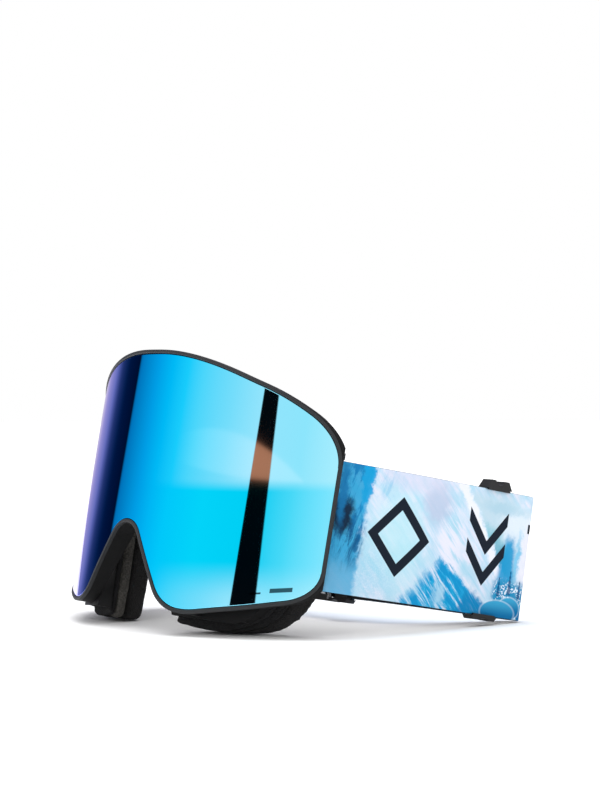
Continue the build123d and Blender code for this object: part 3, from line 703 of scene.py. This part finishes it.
        # a pine widens downwards, and its branches step out and in on the way
        branch = calc(tree, "MULTIPLY", rise, 0.09)
        branch = calc(tree, "MULTIPLY_ADD", calc(tree, "PINGPONG", rise, 0.9), 0.35, branch)
        aside = calc(tree, "ABSOLUTE", calc(tree, "SUBTRACT", along, foot))
        colour = over(colour, (10, 78, 128), 0.85, fade(tree, calc(tree, "SUBTRACT", aside, branch), 0.15, -0.15),
                      fade(tree, rise, -0.1, 0.2), fade(tree, rise, tall + 0.4, tall))
    # generic signs: a diamond, a double chevron and a bar
    stroke = art["stroke"]
    across = cut[1]
    offU = calc(tree, "ABSOLUTE", calc(tree, "SUBTRACT", along, art["diamond"]))
    ring = calc(tree, "ADD", offU, calc(tree, "ABSOLUTE", across))
    ring = calc(tree, "ABSOLUTE", calc(tree, "SUBTRACT", ring, art["signHalf"] - stroke * 0.7))
    signs = fade(tree, ring, stroke * 0.7 + 0.1, stroke * 0.7 - 0.1)
    offU = calc(tree, "ABSOLUTE", calc(tree, "SUBTRACT", along, art["chevron"]))
    fall = calc(tree, "MULTIPLY_ADD", offU, -1.15, across)
    for armHeight in art["arms"]:
        arm = fade(tree, calc(tree, "ABSOLUTE", calc(tree, "SUBTRACT", fall, armHeight)), 2.8, 2.6)
        arm = calc(tree, "MULTIPLY", arm, fade(tree, offU, 10.7, 10.5))
        signs = calc(tree, "MAXIMUM", signs, arm)
    barStart, barEnd, barHeight = art["bar"]
    bar = calc(tree, "MULTIPLY", fade(tree, along, barStart - 0.1, barStart + 0.1),
               fade(tree, along, barEnd + 0.1, barEnd - 0.1))
    offBar = calc(tree, "ABSOLUTE", calc(tree, "SUBTRACT", across, barHeight))
    bar = calc(tree, "MULTIPLY", bar, fade(tree, offBar, 1.9, 1.7))
    signs = calc(tree, "MAXIMUM", signs, bar)
    colour = mixed(tree, signs, colour, art["ink"])
    # yarn of the woven ground, and the dark cut edges
    rib = calc(tree, "SINE", calc(tree, "MULTIPLY", cut[0], 9.0))
    yarn = calc(tree, "SINE", calc(tree, "MULTIPLY", cut[1], 9.0))
    weave = calc(tree, "MULTIPLY_ADD", calc(tree, "MULTIPLY", rib, yarn), 0.5, 0.5)
    fuzzy = calc(tree, "MULTIPLY_ADD", specks, 0.5, calc(tree, "MULTIPLY", weave, 0.5))
    colour = mixed(tree, calc(tree, "MULTIPLY", fuzzy, 0.16), colour, linear(96, 130, 164), "MULTIPLY")
    edge = fade(tree, calc(tree, "ABSOLUTE", across), 24.3, 24.45)
    colour = mixed(tree, edge, colour, linear(24, 28, 36))
    put(tree, shader.inputs["Base Color"], colour)
    bump(tree, shader, fuzzy, 0.00008)
    return made


strapPrint = strapArt()
band = ribbon("printedBand", strap["route"], 0.01, strap["face"], strap["width"], strapPrint, 40,
              wraps=True)
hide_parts("strap_band")
backing = ribbon("strapBacking", strap["route"], -strap["lining"], -0.01, strap["width"] - 0.3, liningKnit,
                 30, wraps=True)
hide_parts("strap_lining")
for piece in (band, backing):
    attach(piece, "root")
print("strap made")

# each tail runs inside the strap, from its pin back to its adjuster's bar
slider = {"bar": 1.1, "gap": 0.3, "wall": 2.0, "barOffset": 4.5, "leftRun": 79.0, "rightX": 20.0}
tail = {"width": 46.0, "thick": 1.2, "start": 0.5, "loopThick": 0.7, "loopRound": 0.3, "loopGap": 0.42}
tailX = strap["pinX"] - strap["wrap"]
barLevel = strap["lining"] + slider["gap"] + slider["wall"] / 2
tailEnd = slider["barOffset"] + slider["bar"] + slider["gap"]


def heading(first, second):
    step = np.array(second[:2], float) - np.array(first[:2], float)
    return step / np.linalg.norm(step)


def inwardOf(step):
    return np.array([-step[1], step[0]])


def insideCorner(before, corner, after, gap):
    first, second = heading(before, corner), heading(corner, after)
    return np.array(corner[:2], float) + (inwardOf(first) + inwardOf(second)) * gap / (1 + first @ second)


route = strap["route"]
leftWay, rightWay = heading(route[1], route[2]), heading(route[3], route[4])
leftSpot = np.array(route[1][:2]) + leftWay * (slider["leftRun"] - route[1][1])
rightSpot = np.array(route[3][:2]) + rightWay * (slider["rightX"] - route[3][0]) / rightWay[0]
leftTip = leftSpot - leftWay * tailEnd + inwardOf(leftWay) * barLevel
rightTip = rightSpot + rightWay * tailEnd + inwardOf(rightWay) * barLevel
turnSpot = insideCorner(route[3], route[4], route[5], barLevel)
bendSpot = insideCorner(route[4], route[5], route[6], 0.7 * (route[0][0] - tailX))
leftTail = ribbon("tailLeft", [(tailX, tail["start"], 0), (*leftTip, 0)],
                  -tail["thick"] / 2, tail["thick"] / 2, tail["width"], blackWebbing, 24)
rightRoute = [(*rightTip, 0), (*turnSpot, route[4][2] - barLevel), (*bendSpot, route[5][2] - 3),
              (-tailX, tail["start"], 0)]
rightTail = ribbon("tailRight", rightRoute, -tail["thick"] / 2, tail["thick"] / 2, tail["width"],
                   blackWebbing, 24)
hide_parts("strap_tail_left")
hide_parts("strap_tail_right")


def asTuple(point):
    return tuple(float(value) for value in point)


asTuple(onStrap(tailX, 4.0, 0))
asTuple(onStrap(*leftTip, 0))
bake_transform(leftTail)
asTuple(onStrap(turnSpot[0] + 20, turnSpot[1], 0))
asTuple(onStrap(*rightTip, 0))
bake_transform(rightTail)


def barLoop(name, spot, way, towards):
    # the tail's end carried over the bar on the head's side, as an arc of flat webbing
    centre = spot + way * towards * slider["barOffset"] + inwardOf(way) * barLevel
    angles = np.radians(np.linspace(180, -25, 40))
    radius = slider["bar"] + tail["loopGap"]
    start = -way * towards
    line = centre + radius * (np.cos(angles)[:, None] * -start + np.sin(angles)[:, None] * inwardOf(way))
    line, along = evenly(line, 40)
    step = sideways(line)
    section = roundedSection(tail["width"], tail["loopThick"], tail["loopRound"], across=24)
    spots = line[:, None, :] + step[:, None, :] * section[None, :, 1, None]
    return gridObject(name, onStrap(spots[..., 0], spots[..., 1], section[None, :, 0]), blackWebbing,
                      wrapV=True, uv=sectionUv(along, section), capped=True)


for name, spot, way, towards, body in (("barLoopLeft", leftSpot, leftWay, -1, "slider_left"),
                                       ("barLoopRight", rightSpot, rightWay, 1, "slider_right")):
    loop = barLoop(name, spot, way, towards)
    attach(loop, body)
print("tails made")

# finishes of the carried-over nodes
finishes = {
    "lens_carrier": framePlastic, "carrier_magnets": magnetMetal, "lens_spacer": foamDark,
    "inner_lens": clearLens, "frame": framePlastic, "frame_magnets": magnetMetal,
    "lens_gasket": gasketRubber, "face_frame": framePlastic, "frame_screws": steel,
    "top_vent_foam": ventMesh, "bottom_vent_foam": ventMesh,
    "strap_pin_left": steel, "strap_pin_right": steel, "grip_strips": siliconeGrip,
    "slider_left": sliderPlastic, "slider_right": sliderPlastic,
    "slider_bar_left": steel, "slider_bar_right": steel,
}
for node, finish in finishes.items():
    for slot in nodes[node].material_slots:
        slot.material = finish

# lengths here are in metres and angles in degrees
studio = {"floor": 4.0, "floorLevel": -0.0002, "aim": (0.03446, -0.01555, 0.08744), "away": 1.1,
          "azimuth": 54.06, "elevation": 0.69, "roll": -0.1, "focal": 128.7}
angles = np.linspace(0, 2 * math.pi, 97)[:-1]
rings = np.array([0.001, 0.1, 0.3, 0.8, 2.0, studio["floor"]])
levels = np.full((len(rings), len(angles)), studio["floorLevel"])
disc = np.stack([rings[:, None] * np.cos(angles), rings[:, None] * np.sin(angles), levels], -1)
floorPaint, tree, shader = newMaterial("floor", Roughness=0.9, Specular_IOR_Level=0.1)
tone = noise(tree, coordinate(tree), 4.0, 2.0)
paper = ramp(tree, tone, ((0.0, (0.93, 0.93, 0.93, 1)), (1.0, (0.96, 0.96, 0.96, 1))))
put(tree, shader.inputs["Base Color"], paper)
# away from the goggles the paper glows a little, so that its far edge is lost in the white
away = tree.nodes.new("ShaderNodeVectorMath")
away.operation = "LENGTH"
put(tree, away.inputs[0], coordinate(tree))
shader.inputs["Emission Color"].default_value = (1, 1, 1, 1)
glow = calc(tree, "MULTIPLY", fade(tree, away.outputs["Value"], 0.12, 0.6), 0.35)
put(tree, shader.inputs["Emission Strength"], glow)
floor = gridObject("floor", disc, floorPaint, wrapV=True)
if floor.data.polygons[0].normal.z < 0:
    floor.data.flip_normals()

# the room is white, with a dark stretch behind the lens's near edge and a dark gap between two soft boxes
room = {
    "white": 1.0,
    # the walls' tint by azimuth
    "stops": ((-180, (0.7, 0.68, 0.82)), (-123, (0.66, 0.62, 0.80)), (-117, (0.63, 0.59, 0.78)),
              (-111, (0.62, 0.58, 0.77)), (-106, (0.46, 0.44, 0.72)), (-96, (0.35, 0.39, 0.59)),
              (-88, (0.08, 0.12, 0.22)), (-80, (0.01, 0.05, 0.10)), (-69.5, (0.003, 0.02, 0.05)),
              (-68.8, (1, 1, 1)), (60, (1, 1, 1)), (90, (0.7, 0.7, 0.7)), (180, (1, 1, 1))),
    # the gap's left and right edge, the height that the right edge is taken at, and how fast it widens
    "gap": (6.7, 13.8, 17.3, 0.95),
    # each edge of the reflector: azimuth of its top, height there, and bend
    "reflectorLow": (0.0, 15.82, -0.00155), "reflectorHigh": (-2.3, 16.66, -0.0021),
    "reflector": (1.35, 0.22, 0.10, 1), "spill": 0.3,
}
world = bpy.data.worlds.new("room")
bpy.context.scene.world = world
world.use_nodes = True
tree = world.node_tree
background = tree.nodes["Background"]
cut = separate(tree, coordinate(tree, "Generated"))
azimuth = calc(tree, "ARCTAN2", cut[0], calc(tree, "MULTIPLY", cut[1], -1.0))
turned = calc(tree, "MULTIPLY", azimuth, 180 / math.pi)
rise = calc(tree, "MULTIPLY", calc(tree, "ARCSINE", cut[2]), 180 / math.pi)
share = calc(tree, "MULTIPLY_ADD", azimuth, 0.5 / math.pi, 0.5)
panels = ramp(tree, share, [(degrees / 360 + 0.5, (*tint, 1)) for degrees, tint in room["stops"]])
# the gap between the boxes widens downwards
gapLeft, gapRight, gapTop, widening = room["gap"]
rightEdge = calc(tree, "MULTIPLY_ADD", calc(tree, "SUBTRACT", gapTop, rise), widening, gapRight)
gap = calc(tree, "MULTIPLY", fade(tree, turned, gapLeft - 0.25, gapLeft + 0.25),
           fade(tree, calc(tree, "SUBTRACT", turned, rightEdge), 0.3, -0.3))
panels = mixed(tree, gap, panels, (0.003, 0.003, 0.004, 1))
panels = mixed(tree, fade(tree, cut[2], 0.62, 0.85), panels, (1.15, 1.15, 1.15, 1))


def parabola(middle, top, bend):
    off = calc(tree, "SUBTRACT", turned, middle)
    return calc(tree, "MULTIPLY_ADD", calc(tree, "MULTIPLY", off, off), bend, top)


# a low warm reflector stands between two curves of height over azimuth, brightest where the gap is
lowEdge, highEdge = parabola(*room["reflectorLow"]), parabola(*room["reflectorHigh"])
shown = calc(tree, "MULTIPLY", fade(tree, calc(tree, "SUBTRACT", rise, lowEdge), -0.03, 0.03),
             fade(tree, calc(tree, "SUBTRACT", highEdge, rise), -0.04, 0.04))
shown = calc(tree, "MULTIPLY", shown, fade(tree, turned, -36.0, -16.0))
shown = calc(tree, "MULTIPLY", shown, calc(tree, "MAXIMUM", gap, room["spill"]))
panels = mixed(tree, shown, panels, room["reflector"], "ADD")
seen = tree.nodes.new("ShaderNodeLightPath").outputs["Is Camera Ray"]
put(tree, background.inputs["Color"], mixed(tree, seen, panels, (1, 1, 1, 1)))
background.inputs["Strength"].default_value = room["white"]


def softBox(name, spot, size, power, aim=(0, 0, 0.04)):
    data = bpy.data.lights.new(name, "AREA")
    data.shape = "RECTANGLE"
    data.size, data.size_y = size
    data.energy = power
    lamp = link(name, data)
    lamp.location = spot
    lamp.rotation_euler = (Vector(aim) - Vector(spot)).to_track_quat("-Z", "Y").to_euler()
    lamp.visible_glossy = False


softBox("topLight", (-0.3, -0.1, 1.5), (1.2, 1.2), 14)
softBox("frontLight", (0.6, -1.4, 0.9), (0.8, 0.8), 6)

azimuthTurn, elevationTurn = math.radians(studio["azimuth"]), math.radians(studio["elevation"])
back = Vector((math.sin(azimuthTurn) * math.cos(elevationTurn),
               -math.cos(azimuthTurn) * math.cos(elevationTurn), math.sin(elevationTurn)))
camera = link("camera", bpy.data.cameras.new("camera"))
roll = Matrix.Rotation(math.radians(studio["roll"]), 4, "Z")
facing = back.to_track_quat("Z", "Y").to_matrix().to_4x4() @ roll
camera.matrix_world = Matrix.Translation(Vector(studio["aim"]) + back * studio["away"]) @ facing
camera.data.lens = studio["focal"]
camera.data.sensor_width = 36.0
camera.data.clip_end = 50.0
bpy.context.scene.camera = camera
bpy.context.scene.view_settings.view_transform = "Standard"
print("studio made")
